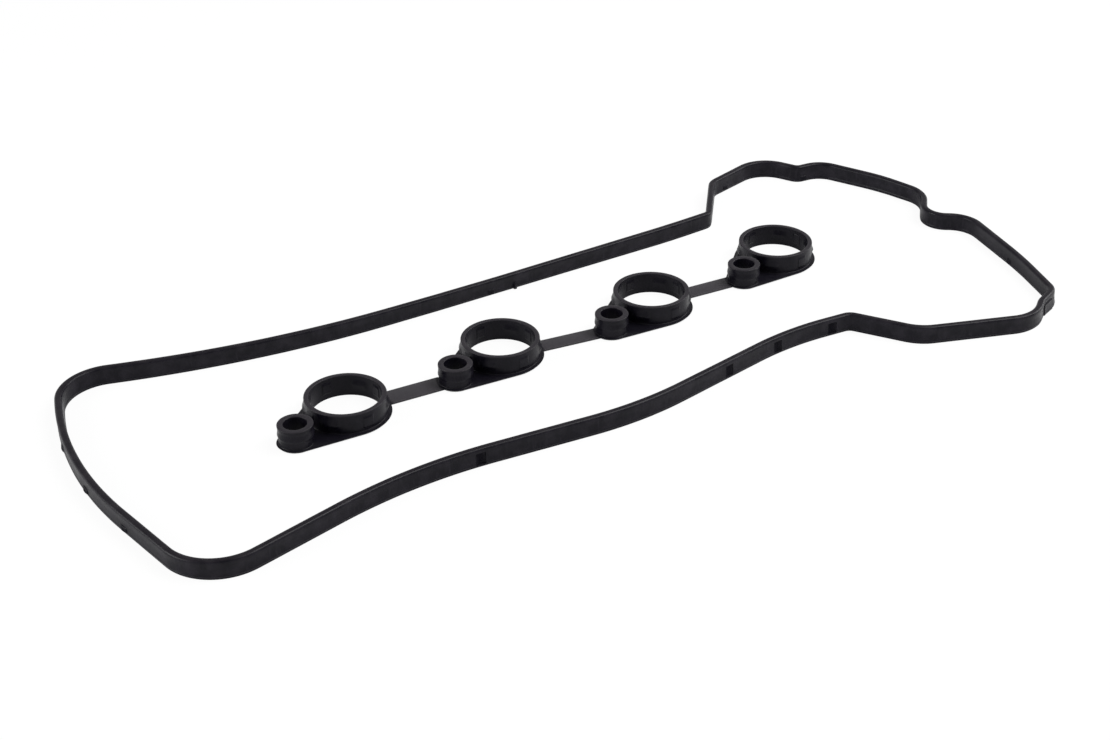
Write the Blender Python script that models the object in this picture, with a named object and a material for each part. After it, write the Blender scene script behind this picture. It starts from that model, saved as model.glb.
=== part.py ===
# Valve cover gasket of a four-cylinder engine, in black moulded rubber.
# It is two loose mouldings. The perimeter seal runs round the rim of the cover. Inside it
# lies the strip of four plug-well rings, each with a small bolt ring beside it.
# Metres, +Z up. The set lies on a bench, and the origin is the middle of its footprint.

import math

import bmesh
import bpy
from mathutils import Vector

MM = 0.001
# What a step of one stands for in the tables of places
TABLE_STEP = 1.0 * MM

# The row of plug wells that both mouldings follow
WELL_PITCH = 88.0 * MM
WELL_COUNT = 4

# Perimeter seal: its section
SEAL_WIDTH = 3.6 * MM
SEAL_HEIGHT = 9.4 * MM
CROWN_RADIUS = 0.9 * MM
CROWN_STEPS = 3
FOOT_CHAMFER = 0.4 * MM
WAIST_HEIGHT = 5.4 * MM
WAIST_DEPTH = 0.15 * MM
BEAD_HEIGHT = 1.5 * MM
BEAD_HALF = 0.5 * MM
BEAD_DEPTH = 0.18 * MM

# Perimeter seal: the corners of its centreline, clockwise from the left end, in table steps.
# Each has the plug well that it is measured from, its place along and across the row, and
# the radius that rounds it. The last number is how far the crown leans outwards there.
SEAL_CORNERS = (
    (0, -128.8, 30.5, 215.0, 0.3),
    (0, -101.0, 102.1, 24.0, 0.45),
    (0, -12.0, 68.7, 515.0, -0.6),
    (1, 34.0, 59.1, 800.0, -1.6),
    (3, -32.0, 51.9, 400.0, -0.1),
    (3, -4.6, 51.8, 5.5, -0.1),
    (3, 22.4, 81.6, 10.0, 0.1),
    (3, 64.2, 89.7, 18.5, 0.5),
    (3, 74.5, 66.8, 5.0, 0.5),
    (3, 89.6, 64.3, 15.0, 0.6),
    (3, 104.3, 28.9, 120.0, 0.3),
    (3, 111.0, -0.2, 17.0, -0.6),
    (3, 89.6, -20.9, 11.0, 0.2),
    (3, 108.8, -36.0, 16.0, -0.2),
    (3, 95.0, -87.6, 250.0, -0.6),
    (3, 81.9, -122.2, 9.0, -0.9),
    (3, 67.7, -126.5, 4.0, -0.3),
    (3, 53.5, -135.3, 21.0, 0.1),
    (3, -2.1, -110.8, 22.0, -0.1),
    (3, -20.3, -79.2, 6.0, 0.1),
    (2, 32.4, -73.6, 155.0, -0.1),
    (1, 19.9, -85.6, 180.0, -0.5),
    (0, -5.5, -66.4, 240.0, -0.2),
    (0, -115.0, -85.0, 25.2, 0.1),
)
ARC_SAG = 0.05 * MM
ARC_STEP_LIMIT = math.radians(15.0)

# Perimeter seal: what is moulded into its sides. Each piece is placed by the plug well that
# it is measured from and its place along and across the row, in table steps, and it goes to
# the nearest point of the centreline. Half-round grooves stand in the outer side, and low
# rounded pips stand out of both sides.
GROOVE_LENGTH = 5.2 * MM
GROOVE_DEPTH = 0.9 * MM
GROOVE_LOW = 1.2 * MM
GROOVE_HIGH = 7.0 * MM
OUTER_GROOVES = (
    (0, 26.8, -73.3),
    (2, -11.0, -79.3),
    (2, 22.9, -78.0),
    (3, -31.4, -79.4),
)
PIP_HEIGHT = 2.2 * MM
PIP_HALF = 1.5 * MM
OUTER_PIP_LENGTH = 5.2 * MM
OUTER_PIP_DEPTH = 0.7 * MM
OUTER_PIPS = (
    (0, -121.0, 49.4),
    (0, -126.0, 11.0),
    (0, -124.4, -26.0),
)
INNER_PIP_LENGTH = 4.2 * MM
INNER_PIP_DEPTH = 0.5 * MM
INNER_PIPS = (
    (0, 119.0, 69.5),
    (3, 34.0, 77.0),
    (3, 78.0, 68.0),
    (3, 96.7, -79.4),
)
ROUND_PIECE_STEPS = 6
TAB_PLACE = (2, -43.5, 56.0)
TAB_LENGTH = 1.3 * MM
TAB_DEPTH = 1.4 * MM
TAB_LOW = 0.1 * MM
TAB_HIGH = 3.0 * MM

# Perimeter seal: the thicker foot before the right end's lowest corner
PAD_PLACE = (3, 71.5, -125.2)
PAD_LENGTH = 10.0 * MM
PAD_DEPTH = 0.6 * MM
PAD_LOW = 0.6 * MM
PAD_HIGH = 6.2 * MM

# Plug-well rings, with the snap lugs and crush ribs on both of their faces
STRIP_HEIGHT = 11.0 * MM
WELL_BORE_RADIUS = 17.15 * MM
WELL_WALL = 2.35 * MM
RIM_ROUND = 0.4 * MM
RIM_SHARE = 0.3
LUG_HEIGHT = 5.8 * MM
LUG_RISE = 2.8 * MM
OUTER_LUG_DEPTH = 1.0 * MM
INNER_LUG_DEPTH = 0.6 * MM
LUG_HALF_ANGLE = math.radians(8.0)
LUG_FADE = math.radians(7.0)
LUG_ANGLES = tuple(math.radians(degrees) for degrees in (38.0, 148.0, 218.0, 328.0))
WELL_RIB_DEPTH = 0.35 * MM
WELL_RIB_HALF_ANGLE = math.radians(7.0)
WELL_RIB_FADE = math.radians(2.0)
WELL_RIB_ANGLES = tuple(math.radians(degrees) for degrees in (3.0, 93.0, 183.0, 273.0))
WELL_STEPS = 36

# Bolt rings
BOLT_BORE_RADIUS = 5.6 * MM
BOLT_WALL = 2.65 * MM
BOLT_RIM_DEPTH = 0.2 * MM
BOLT_RIM_DROP = 1.0 * MM
BOLT_BEAD_DEPTH = 0.4 * MM
BOLT_BEAD_RISE = 1.0 * MM
BOLT_ALONG = -30.9 * MM
BOLT_ACROSS = -8.4 * MM
ROUND_STEPS = 32

# Flange under each pair of rings, and the ribbons between the pairs
FLANGE_THICKNESS = 1.3 * MM
FLANGE_MARGIN = 2.0 * MM
BOLT_FLANGE_MARGIN = 1.1 * MM
FLANGE_UNDERCUT = 1.0 * MM
FLANGE_EDGE = 0.25 * MM
RIBBON_THICKNESS = 1.2 * MM
RIBBON_LIFT = 0.1 * MM

# The soft strip lies a little off its straight line. Each pair of rings: how far it lies
# along and across from its place, in table steps, and its turn in degrees.
PAIR_PLACES = (
    (-0.2, 0.6, 0.0),
    (-0.5, 1.9, -1.0),
    (1.0, -3.2, -1.0),
    (0.0, 0.6, 3.0),
)
# Each ribbon: its width, and how far across from the ring centres it starts and ends, in
# table steps.
RIBBONS = (
    (11.2, 2.5, 1.8),
    (9.4, -0.2, 0.7),
    (9.7, 3.75, 1.85),
)

RUBBER_COLOUR = (0.017, 0.017, 0.020, 1.0)
RUBBER_ROUGHNESS = 0.46
SHARP_ANGLE = math.radians(32.0)
CUT_CLEARANCE = 1.0 * MM
UP = Vector((0.0, 0.0, 1.0))


def clear_scene():
    for item in list(bpy.data.objects):
        bpy.data.objects.remove(item, do_unlink=True)


def well_x(index):
    return (index - (WELL_COUNT - 1) / 2.0) * WELL_PITCH


def from_well(index, along, across):
    # A point that is given in table steps from one of the plug wells
    return Vector((well_x(index) + along * TABLE_STEP, across * TABLE_STEP, 0.0))


# Mesh helpers

def new_object(name, build):
    build.normal_update()
    bmesh.ops.recalc_face_normals(build, faces=build.faces)
    mesh = bpy.data.meshes.new(name)
    build.to_mesh(mesh)
    build.free()
    item = bpy.data.objects.new(name, mesh)
    bpy.context.scene.collection.objects.link(item)
    return item


def skin(name, rings, closed):
    # Joins rings of points, each a closed loop, into one body. The last ring meets the
    # first one if the body is closed, or else both ends are capped.
    build = bmesh.new()
    loops = [[build.verts.new(point) for point in ring] for ring in rings]
    pairs = list(zip(loops, loops[1:]))
    if closed:
        pairs.append((loops[-1], loops[0]))
    else:
        build.faces.new(loops[0])
        build.faces.new(loops[-1])
    for here, there in pairs:
        for i in range(len(here)):
            j = (i + 1) % len(here)
            build.faces.new((here[i], here[j], there[j], there[i]))
    return new_object(name, build)


def combine(body, tools, operation):
    # Unites each tool with the body, or cuts it away, and keeps the result as the body's mesh.
    for tool in tools:
        step = body.modifiers.new(operation, "BOOLEAN")
        step.operation = operation
        step.solver = "EXACT"
        step.object = tool
        tool.hide_render = True
        tool.display_type = "WIRE"
        depsgraph = bpy.context.evaluated_depsgraph_get()
        result = bpy.data.meshes.new_from_object(body.evaluated_get(depsgraph))
        body.modifiers.clear()
        body.data = result
        bpy.data.objects.remove(tool, do_unlink=True)
    return body


# Perimeter seal

def side_of(direction):
    # The outward side of a stretch that runs clockwise
    return Vector((-direction.y, direction.x, 0.0))


def rounded_line(corners):
    # Stations along a closed line through corners, each rounded by its own radius: the point,
    # the outward side and the lean
    count = len(corners)
    points = [corner[0] for corner in corners]
    edges = [points[(i + 1) % count] - points[i] for i in range(count)]
    turns = []
    for i in range(count):
        before = edges[i - 1].normalized()
        after = edges[i].normalized()
        turns.append(math.atan2(before.x * after.y - before.y * after.x, before.dot(after)))
    radii = [corner[1] for corner in corners]
    reach = [radii[i] * math.tan(abs(turns[i]) / 2.0) for i in range(count)]
    limits = [1.0] * count
    for i in range(count):
        j = (i + 1) % count
        if reach[i] + reach[j] > edges[i].length:
            share = edges[i].length / (reach[i] + reach[j])
            limits[i] = min(limits[i], share)
            limits[j] = min(limits[j], share)
    stations = []
    marks = []
    for i in range(count):
        before = edges[i - 1].normalized()
        first = len(stations)
        radius = radii[i] * limits[i]
        sign = math.copysign(1.0, turns[i])
        centre = points[i] - before * reach[i] * limits[i] + side_of(before) * radius * sign
        step = min(2.0 * math.acos(1.0 - ARC_SAG / radius), ARC_STEP_LIMIT)
        steps = max(1, math.ceil(abs(turns[i]) / step))
        for k in range(steps + 1):
            side = turned_by(side_of(before), turns[i] * k / steps)
            stations.append((centre - side * radius * sign, side))
        marks.append((first + len(stations) - 1) / 2.0)
    return with_lean(stations, marks, [corner[2] for corner in corners])


def turned_by(vector, angle):
    cos, sin = math.cos(angle), math.sin(angle)
    return Vector((vector.x * cos - vector.y * sin, vector.x * sin + vector.y * cos, vector.z))


def with_lean(stations, marks, leans):
    # Adds the lean to each station. It runs evenly from the middle of one corner to the next.
    lengths = [0.0]
    following = stations[1:] + stations[:1]
    for (here, _), (there, _) in zip(stations, following):
        lengths.append(lengths[-1] + (there - here).length)
    places = []
    for mark in marks:
        low = int(mark)
        places.append(lengths[low] + (lengths[low + 1] - lengths[low]) * (mark - low))
    places = [places[-1] - lengths[-1]] + places + [places[0] + lengths[-1]]
    leans = [leans[-1]] + leans + [leans[0]]
    leaning = []
    for (point, side), place in zip(stations, lengths):
        lean = leans[-1]
        for (start, lean_a), (end, lean_b) in zip(zip(places, leans), zip(places[1:], leans[1:])):
            if start <= place <= end:
                lean = lean_a + (lean_b - lean_a) * (place - start) / (end - start)
                break
        leaning.append((point, side, lean))
    return leaning


def seal_stations():
    corners = [
        (from_well(well, along, across), radius * TABLE_STEP, lean * TABLE_STEP)
        for well, along, across, radius, lean in SEAL_CORNERS
    ]
    return rounded_line(corners)


def seal_section():
    # One side from the foot to the crown, then its mirror image, as (across, up)
    half = SEAL_WIDTH / 2.0
    side = [
        (half - FOOT_CHAMFER, 0.0),
        (half, FOOT_CHAMFER),
        (half, BEAD_HEIGHT - BEAD_HALF),
        (half + BEAD_DEPTH, BEAD_HEIGHT),
        (half, BEAD_HEIGHT + BEAD_HALF),
        (half - WAIST_DEPTH, WAIST_HEIGHT),
    ]
    for k in range(CROWN_STEPS + 1):
        angle = math.pi / 2.0 * k / CROWN_STEPS
        across = half - CROWN_RADIUS * (1.0 - math.cos(angle))
        side.append((across, SEAL_HEIGHT - CROWN_RADIUS * (1.0 - math.sin(angle))))
    return side + [(-across, up) for across, up in reversed(side)]


def sweep(name, section, stations, closed):
    rings = []
    for point, side, lean in stations:
        rings.append([
            point + side * (across + lean * up / SEAL_HEIGHT) + UP * up
            for across, up in section
        ])
    return skin(name, rings, closed)


def nearest_station(place, stations):
    # The point of the centreline that is nearest to a place, with its outward side and lean
    target = from_well(*place)
    best = None
    for (start, side_a, lean_a), (end, side_b, lean_b) in zip(stations, stations[1:] + stations[:1]):
        run = end - start
        share = 0.0
        if run.length > 0.0:
            share = min(1.0, max(0.0, (target - start).dot(run) / run.length_squared))
        point = start.lerp(end, share)
        gap = (target - point).length
        if best is None or gap < best[0]:
            best = (gap, point, side_a.lerp(side_b, share).normalized(), lean_a + (lean_b - lean_a) * share)
    return best[1:]


def wall_block(name, station, length, inner, outer, low, high):
    # A square block on the seal's wall, between two offsets from the centreline
    point, side, lean = station
    along = Vector((side.y, -side.x, 0.0))
    ends = [(point + along * shift, side, lean) for shift in (-length / 2.0, length / 2.0)]
    section = [(inner, low), (outer, low), (outer, high), (inner, high)]
    return sweep(name, section, ends, closed=False)


def round_piece(name, station, length, back, face, depth, levels):
    # A piece on the seal's wall that swells along its length, from the face by its depth. Each
    # level is a height, and how much of the length and the depth there is at that height.
    point, side, lean = station
    along = Vector((side.y, -side.x, 0.0))
    rings = []
    for up, share in levels:
        half = share * length / 2.0
        rest = lean * up / SEAL_HEIGHT
        ring = [(-half, back), (half, back)]
        for k in range(ROUND_PIECE_STEPS + 1):
            angle = math.pi * k / ROUND_PIECE_STEPS
            ring.append((half * math.cos(angle), face + share * depth * math.sin(angle)))
        rings.append([point + along * run + side * (across + rest) + UP * up for run, across in ring])
    return skin(name, rings, closed=False)


def pip_levels():
    # The pip's height on an arc, without its two sharp ends
    levels = []
    for k in range(1, ROUND_PIECE_STEPS):
        angle = math.pi * k / ROUND_PIECE_STEPS
        levels.append((PIP_HEIGHT - PIP_HALF * math.cos(angle), math.sin(angle)))
    return levels


def perimeter_seal():
    stations = seal_stations()
    seal = sweep("perimeter_seal", seal_section(), stations, closed=True)
    face = SEAL_WIDTH / 2.0
    pieces = [
        wall_block("pad", nearest_station(PAD_PLACE, stations), PAD_LENGTH, 0.0, face + PAD_DEPTH,
                   PAD_LOW, PAD_HIGH),
        wall_block("tab", nearest_station(TAB_PLACE, stations), TAB_LENGTH, -face - TAB_DEPTH, 0.0,
                   TAB_LOW, TAB_HIGH),
    ]
    levels = pip_levels()
    for place in OUTER_PIPS:
        station = nearest_station(place, stations)
        pieces.append(round_piece("outer_pip", station, OUTER_PIP_LENGTH, 0.0, face, OUTER_PIP_DEPTH, levels))
    for place in INNER_PIPS:
        station = nearest_station(place, stations)
        pieces.append(round_piece("inner_pip", station, INNER_PIP_LENGTH, 0.0, -face,
                                  -INNER_PIP_DEPTH, levels))
    grooves = []
    levels = [(GROOVE_LOW, 1.0), (GROOVE_HIGH, 1.0)]
    for place in OUTER_GROOVES:
        station = nearest_station(place, stations)
        grooves.append(round_piece("groove", station, GROOVE_LENGTH, face + CUT_CLEARANCE, face,
                                   -GROOVE_DEPTH, levels))
    combine(seal, pieces, "UNION")
    combine(seal, grooves, "DIFFERENCE")
    return seal


# Plug-well strip

def fade(value, full, none):
    # 1 up to full, then down to 0 at none
    if value <= full:
        return 1.0
    return max(0.0, (none - value) / (none - full))


def ring_angles():
    # Angles round a plug-well ring: even steps, and both edges of each lug and rib. An even
    # step that lies close to an edge gives way to it.
    edges = []
    for centres, half, soft in (
        (LUG_ANGLES, LUG_HALF_ANGLE, LUG_FADE),
        (WELL_RIB_ANGLES, WELL_RIB_HALF_ANGLE, WELL_RIB_FADE),
    ):
        for centre in centres:
            edges += [centre - half - soft, centre - half, centre + half, centre + half + soft]
    angles = list(edges)
    for even in even_angles(WELL_STEPS):
        if min(apart(even, edge) for edge in edges) > WELL_RIB_FADE:
            angles.append(even)
    return sorted(angle % (2.0 * math.pi) for angle in angles)


def apart(angle, other):
    # How far two angles are apart, the shorter way round
    return abs((angle - other + math.pi) % (2.0 * math.pi) - math.pi)


def relief(angle, lug, rib):
    # How far a plug-well ring's face stands out at an angle, from its lugs and its ribs
    from_lug = min(apart(angle, centre) for centre in LUG_ANGLES)
    from_rib = min(apart(angle, centre) for centre in WELL_RIB_ANGLES)
    return (lug * fade(from_lug, LUG_HALF_ANGLE, LUG_HALF_ANGLE + LUG_FADE)
            + rib * fade(from_rib, WELL_RIB_HALF_ANGLE, WELL_RIB_HALF_ANGLE + WELL_RIB_FADE))


def turned(name, centre, turn, angles, levels):
    # A round body of levels, each a height, a radius, and how much of a lug and a rib it has
    rings = []
    for up, radius, lug, rib in levels:
        ring = []
        for angle in angles:
            out = radius + relief(angle, lug, rib)
            ring.append(centre + Vector((out * math.cos(angle + turn), out * math.sin(angle + turn), up)))
        rings.append(ring)
    return skin(name, rings, closed=False)


def well_ring(centre, turn):
    low = LUG_HEIGHT - LUG_RISE
    high = LUG_HEIGHT + LUG_RISE
    outer = WELL_BORE_RADIUS + WELL_WALL
    beside = OUTER_LUG_DEPTH * RIM_ROUND / LUG_RISE
    levels = [
        (FLANGE_THICKNESS / 2.0, outer, 0.0, 0.0),
        (low, outer, 0.0, 0.0),
        (low + RIM_ROUND, outer, beside, WELL_RIB_DEPTH),
        (LUG_HEIGHT, outer, OUTER_LUG_DEPTH, WELL_RIB_DEPTH),
        (high - RIM_ROUND, outer, beside, WELL_RIB_DEPTH),
        (high, outer, 0.0, 0.0),
        (STRIP_HEIGHT - RIM_ROUND, outer, 0.0, 0.0),
        (STRIP_HEIGHT - RIM_SHARE * RIM_ROUND, outer - RIM_SHARE * RIM_ROUND, 0.0, 0.0),
        (STRIP_HEIGHT, outer - RIM_ROUND, 0.0, 0.0),
    ]
    return turned("well_ring", centre, turn, ring_angles(), levels)


def well_bore(centre, turn):
    # The cutter for the bore: its lugs stand inwards, and its top opens out to round the rim
    low = LUG_HEIGHT - LUG_RISE
    high = LUG_HEIGHT + LUG_RISE
    bore = WELL_BORE_RADIUS
    beside = INNER_LUG_DEPTH * RIM_ROUND / LUG_RISE
    levels = [
        (-CUT_CLEARANCE, bore, 0.0, 0.0),
        (low, bore, 0.0, 0.0),
        (low + RIM_ROUND, bore, -beside, -WELL_RIB_DEPTH),
        (LUG_HEIGHT, bore, -INNER_LUG_DEPTH, -WELL_RIB_DEPTH),
        (high - RIM_ROUND, bore, -beside, -WELL_RIB_DEPTH),
        (high, bore, 0.0, 0.0),
        (STRIP_HEIGHT - RIM_ROUND, bore, 0.0, 0.0),
        (STRIP_HEIGHT + CUT_CLEARANCE, bore + RIM_ROUND + CUT_CLEARANCE, 0.0, 0.0),
    ]
    return turned("well_bore", centre, turn, ring_angles(), levels)


def even_angles(steps):
    return [2.0 * math.pi * k / steps for k in range(steps)]


def bolt_ring(centre):
    outer = BOLT_BORE_RADIUS + BOLT_WALL
    rim = outer + BOLT_RIM_DEPTH
    neck = (STRIP_HEIGHT + LUG_HEIGHT) / 2.0
    levels = [
        (FLANGE_THICKNESS / 2.0, outer, 0.0, 0.0),
        (LUG_HEIGHT - BOLT_BEAD_RISE, outer, 0.0, 0.0),
        (LUG_HEIGHT, outer + BOLT_BEAD_DEPTH, 0.0, 0.0),
        (neck, outer, 0.0, 0.0),
        (STRIP_HEIGHT - BOLT_RIM_DROP, rim, 0.0, 0.0),
        (STRIP_HEIGHT - RIM_ROUND, rim, 0.0, 0.0),
        (STRIP_HEIGHT - RIM_SHARE * RIM_ROUND, rim - RIM_SHARE * RIM_ROUND, 0.0, 0.0),
        (STRIP_HEIGHT, rim - RIM_ROUND, 0.0, 0.0),
    ]
    return turned("bolt_ring", centre, 0.0, even_angles(ROUND_STEPS), levels)


def bolt_bore(centre):
    bore = BOLT_BORE_RADIUS
    levels = [
        (-CUT_CLEARANCE, bore, 0.0, 0.0),
        (STRIP_HEIGHT - RIM_ROUND, bore, 0.0, 0.0),
        (STRIP_HEIGHT + CUT_CLEARANCE, bore + RIM_ROUND + CUT_CLEARANCE, 0.0, 0.0),
    ]
    return turned("bolt_bore", centre, 0.0, even_angles(ROUND_STEPS), levels)


def flange(well, bolt):
    # A plate whose outline is drawn tight round two circles, with its foot drawn in
    axis = bolt - well
    heading = math.atan2(axis.y, axis.x)
    large = WELL_BORE_RADIUS + WELL_WALL + FLANGE_MARGIN
    small = BOLT_BORE_RADIUS + BOLT_WALL + BOLT_FLANGE_MARGIN
    tangent = math.acos((large - small) / axis.length)
    levels = ((0.0, FLANGE_UNDERCUT), (FLANGE_THICKNESS - FLANGE_EDGE, 0.0), (FLANGE_THICKNESS, FLANGE_EDGE))
    rings = []
    for up, inset in levels:
        ring = []
        for centre, radius, first, last, steps in (
            (bolt, small - inset, -tangent, tangent, ROUND_STEPS // 2),
            (well, large - inset, tangent, 2.0 * math.pi - tangent, ROUND_STEPS),
        ):
            for k in range(steps + 1):
                angle = heading + first + (last - first) * k / steps
                ring.append(centre + Vector((radius * math.cos(angle), radius * math.sin(angle), up)))
        rings.append(ring)
    return skin("flange", rings, closed=False)


def ribbon(start, end, width):
    along = (end - start).normalized()
    across = Vector((-along.y, along.x, 0.0)) * (width / 2.0)
    outline = (start - across, end - across, end + across, start + across)
    rings = []
    for up in (RIBBON_LIFT, RIBBON_LIFT + RIBBON_THICKNESS):
        rings.append([point + UP * up for point in outline])
    return skin("ribbon", rings, closed=False)


def pair_centres(index):
    along, across, degrees = PAIR_PLACES[index]
    turn = math.radians(degrees)
    well = from_well(index, along, across)
    return well, well + turned_by(Vector((BOLT_ALONG, BOLT_ACROSS, 0.0)), turn), turn


def plug_well_seal():
    solids = []
    bores = []
    centres = [pair_centres(index) for index in range(WELL_COUNT)]
    for well, bolt, turn in centres:
        solids += [flange(well, bolt), well_ring(well, turn), bolt_ring(bolt)]
        bores += [well_bore(well, turn), bolt_bore(bolt)]
    for (start, _, _), (_, end, _), (width, from_start, to_end) in zip(centres, centres[1:], RIBBONS):
        across = Vector((0.0, TABLE_STEP, 0.0))
        solids.append(ribbon(start + across * from_start, end + across * to_end, width * TABLE_STEP))
    strip = solids[0]
    strip.name = "plug_well_seal"
    combine(strip, solids[1:], "UNION")
    combine(strip, bores, "DIFFERENCE")
    return strip


# Finish and place

def rubber(name):
    material = bpy.data.materials.new(name)
    material.use_nodes = True
    shader = material.node_tree.nodes["Principled BSDF"]
    shader.inputs["Base Color"].default_value = RUBBER_COLOUR
    shader.inputs["Roughness"].default_value = RUBBER_ROUGHNESS
    shader.inputs["Metallic"].default_value = 0.0
    return material


def footprint_middle(item):
    # The middle of an object's box, on the bench
    points = [vertex.co for vertex in item.data.vertices]
    lowest = Vector([min(point[axis] for point in points) for axis in range(3)])
    highest = Vector([max(point[axis] for point in points) for axis in range(3)])
    return Vector(((lowest.x + highest.x) / 2.0, (lowest.y + highest.y) / 2.0, lowest.z))


def finish(item, middle):
    for vertex in item.data.vertices:
        vertex.co -= middle
    item.data.materials.clear()
    item.data.materials.append(rubber(item.name + "_rubber"))
    item.data.shade_smooth()
    item.data.set_sharp_from_angle(angle=SHARP_ANGLE)


def main():
    clear_scene()
    seal = perimeter_seal()
    strip = plug_well_seal()
    middle = footprint_middle(seal)
    finish(seal, middle)
    finish(strip, middle)


main()
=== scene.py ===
# Looks of a valve cover gasket set: the seal that follows the cover's rim, and inside it the
# strip of plug-well rings. Both are black moulded rubber and lie loose on a white floor.

import math

import bmesh
import bpy
import numpy as np
from mathutils import Matrix, Vector


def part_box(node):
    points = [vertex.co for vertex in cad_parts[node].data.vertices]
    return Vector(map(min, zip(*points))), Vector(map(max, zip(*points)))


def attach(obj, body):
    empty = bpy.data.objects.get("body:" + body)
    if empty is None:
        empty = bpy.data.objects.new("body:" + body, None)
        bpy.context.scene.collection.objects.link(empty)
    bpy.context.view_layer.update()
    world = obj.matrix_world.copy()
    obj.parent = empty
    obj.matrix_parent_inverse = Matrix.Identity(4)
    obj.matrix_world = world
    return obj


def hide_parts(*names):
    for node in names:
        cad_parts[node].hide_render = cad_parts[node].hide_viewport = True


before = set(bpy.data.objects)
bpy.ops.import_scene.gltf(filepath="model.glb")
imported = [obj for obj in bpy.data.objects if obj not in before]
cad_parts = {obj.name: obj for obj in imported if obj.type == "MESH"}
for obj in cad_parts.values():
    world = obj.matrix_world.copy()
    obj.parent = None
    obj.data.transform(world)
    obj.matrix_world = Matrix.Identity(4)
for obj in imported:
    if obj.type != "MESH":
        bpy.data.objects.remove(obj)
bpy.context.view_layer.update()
mm = 0.001
smoothUnder = math.radians(34.0)  # faces that meet at less than this are shaded smooth


# The row of plug wells, which every place below is measured from
wellRow = {
    "pitch": 88.0 * mm,
    "count": 4,
}

sealShape = {
    "width": 3.6 * mm,
    "height": 9.4 * mm,
    "crownRadius": 1.3 * mm,
    "crownSteps": 6,
    "footRadius": 0.4 * mm,
    "waistHeight": 5.4 * mm,
    "waistDepth": 0.15 * mm,
    "beadHeight": 1.5 * mm,
    "beadHalf": 0.5 * mm,
    "beadDepth": 0.18 * mm,
    "rowGap": 0.6 * mm,
    "stationGap": 1.6 * mm,
    "edgeFade": 0.15 * mm,  # how softly a groove, the tab or the pad begins
    "ripple": 0.10 * mm,
    "rippleSize": 14.0 * mm,
    "footSteps": 3,
    "beadSteps": 4,
    "leastRow": 0.04 * mm,
    "shoulderGap": 0.1 * mm,
    "leastStation": 0.02 * mm,
    "searchStep": 0.05 * mm,  # how finely the nearest place on the path is searched
    "reliefTurn": 15,  # degrees between stations on a round relief
}

# Corners of the seal's centreline, clockwise from the left end: the well that it is measured
# from, along and across the row, the rounding and how far the crown leans outwards, in mm
sealCorners = (
    (0, -128.6, 30.5, 215.0, 0.3),
    (0, -100.5, 102.2, 24.5, 0.3),
    (0, -12.0, 68.5, 515.0, -0.6),
    (1, -1.0, 61.0, 400.0, -1.35),
    (1, 34.0, 58.9, 800.0, -1.6),
    (3, -32.0, 51.9, 400.0, -0.1),
    (3, -4.6, 51.8, 5.5, -0.3),
    (3, 22.4, 81.6, 10.0, 0.0),
    (3, 64.2, 89.8, 18.5, 0.6),
    (3, 74.5, 66.8, 5.0, 0.6),
    (3, 89.6, 64.3, 15.0, 0.8),
    (3, 104.4, 28.9, 120.0, 0.45),
    (3, 111.0, -0.2, 17.0, -0.6),
    (3, 89.6, -20.9, 11.0, -0.1),
    (3, 108.8, -36.0, 16.0, -0.2),
    (3, 95.0, -87.6, 250.0, -0.6),
    (3, 81.9, -122.2, 9.0, -0.9),
    (3, 67.7, -126.5, 4.0, -0.3),
    (3, 53.5, -135.3, 21.0, 0.1),
    (3, -2.0, -110.8, 22.0, -0.1),
    (3, -20.0, -79.1, 6.0, 0.0),
    (2, 32.4, -73.6, 155.0, -0.1),
    (1, 19.9, -85.6, 180.0, -0.5),
    (0, -5.5, -66.5, 240.0, -0.1),
    (0, -115.1, -85.1, 25.2, 0.2),
)

# What is moulded into the seal's walls: the side that it is on (1 is the outer one), its
# length, its lowest and highest level, how far it stands out, and its places in mm. A round
# one swells along its length, and a pip swells up its height too
sealRelief = {
    "groove": {
        "side": 1, "length": 5.2 * mm, "low": 1.2 * mm, "high": 7.0 * mm, "depth": -1.2 * mm,
        "form": "round",
        "places": ((0, 26.8, -73.3), (2, -11.0, -79.3), (2, 22.9, -78.0), (3, -31.4, -79.4)),
    },
    "outerPip": {
        "side": 1, "length": 5.2 * mm, "low": 0.7 * mm, "high": 3.7 * mm, "depth": 0.7 * mm, "form": "pip",
        "places": ((0, -121.0, 49.4), (0, -126.0, 11.0), (0, -124.4, -26.0)),
    },
    "innerPip": {
        "side": -1, "length": 4.2 * mm, "low": 0.8 * mm, "high": 3.6 * mm, "depth": 0.5 * mm, "form": "pip",
        "places": ((0, 119.0, 69.5), (3, 34.0, 77.0), (3, 78.0, 68.0), (3, 96.7, -79.4)),
    },
    "innerTab": {
        "side": -1, "length": 1.3 * mm, "low": 0.1 * mm, "high": 3.0 * mm, "depth": 1.4 * mm, "form": "flat",
        "places": ((2, -43.5, 56.0),),
    },
    "pad": {
        "side": 1, "length": 10.0 * mm, "low": 0.6 * mm, "high": 6.2 * mm, "depth": 0.6 * mm, "form": "flat",
        "places": ((3, 71.5, -125.2),),
    },
}

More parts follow.
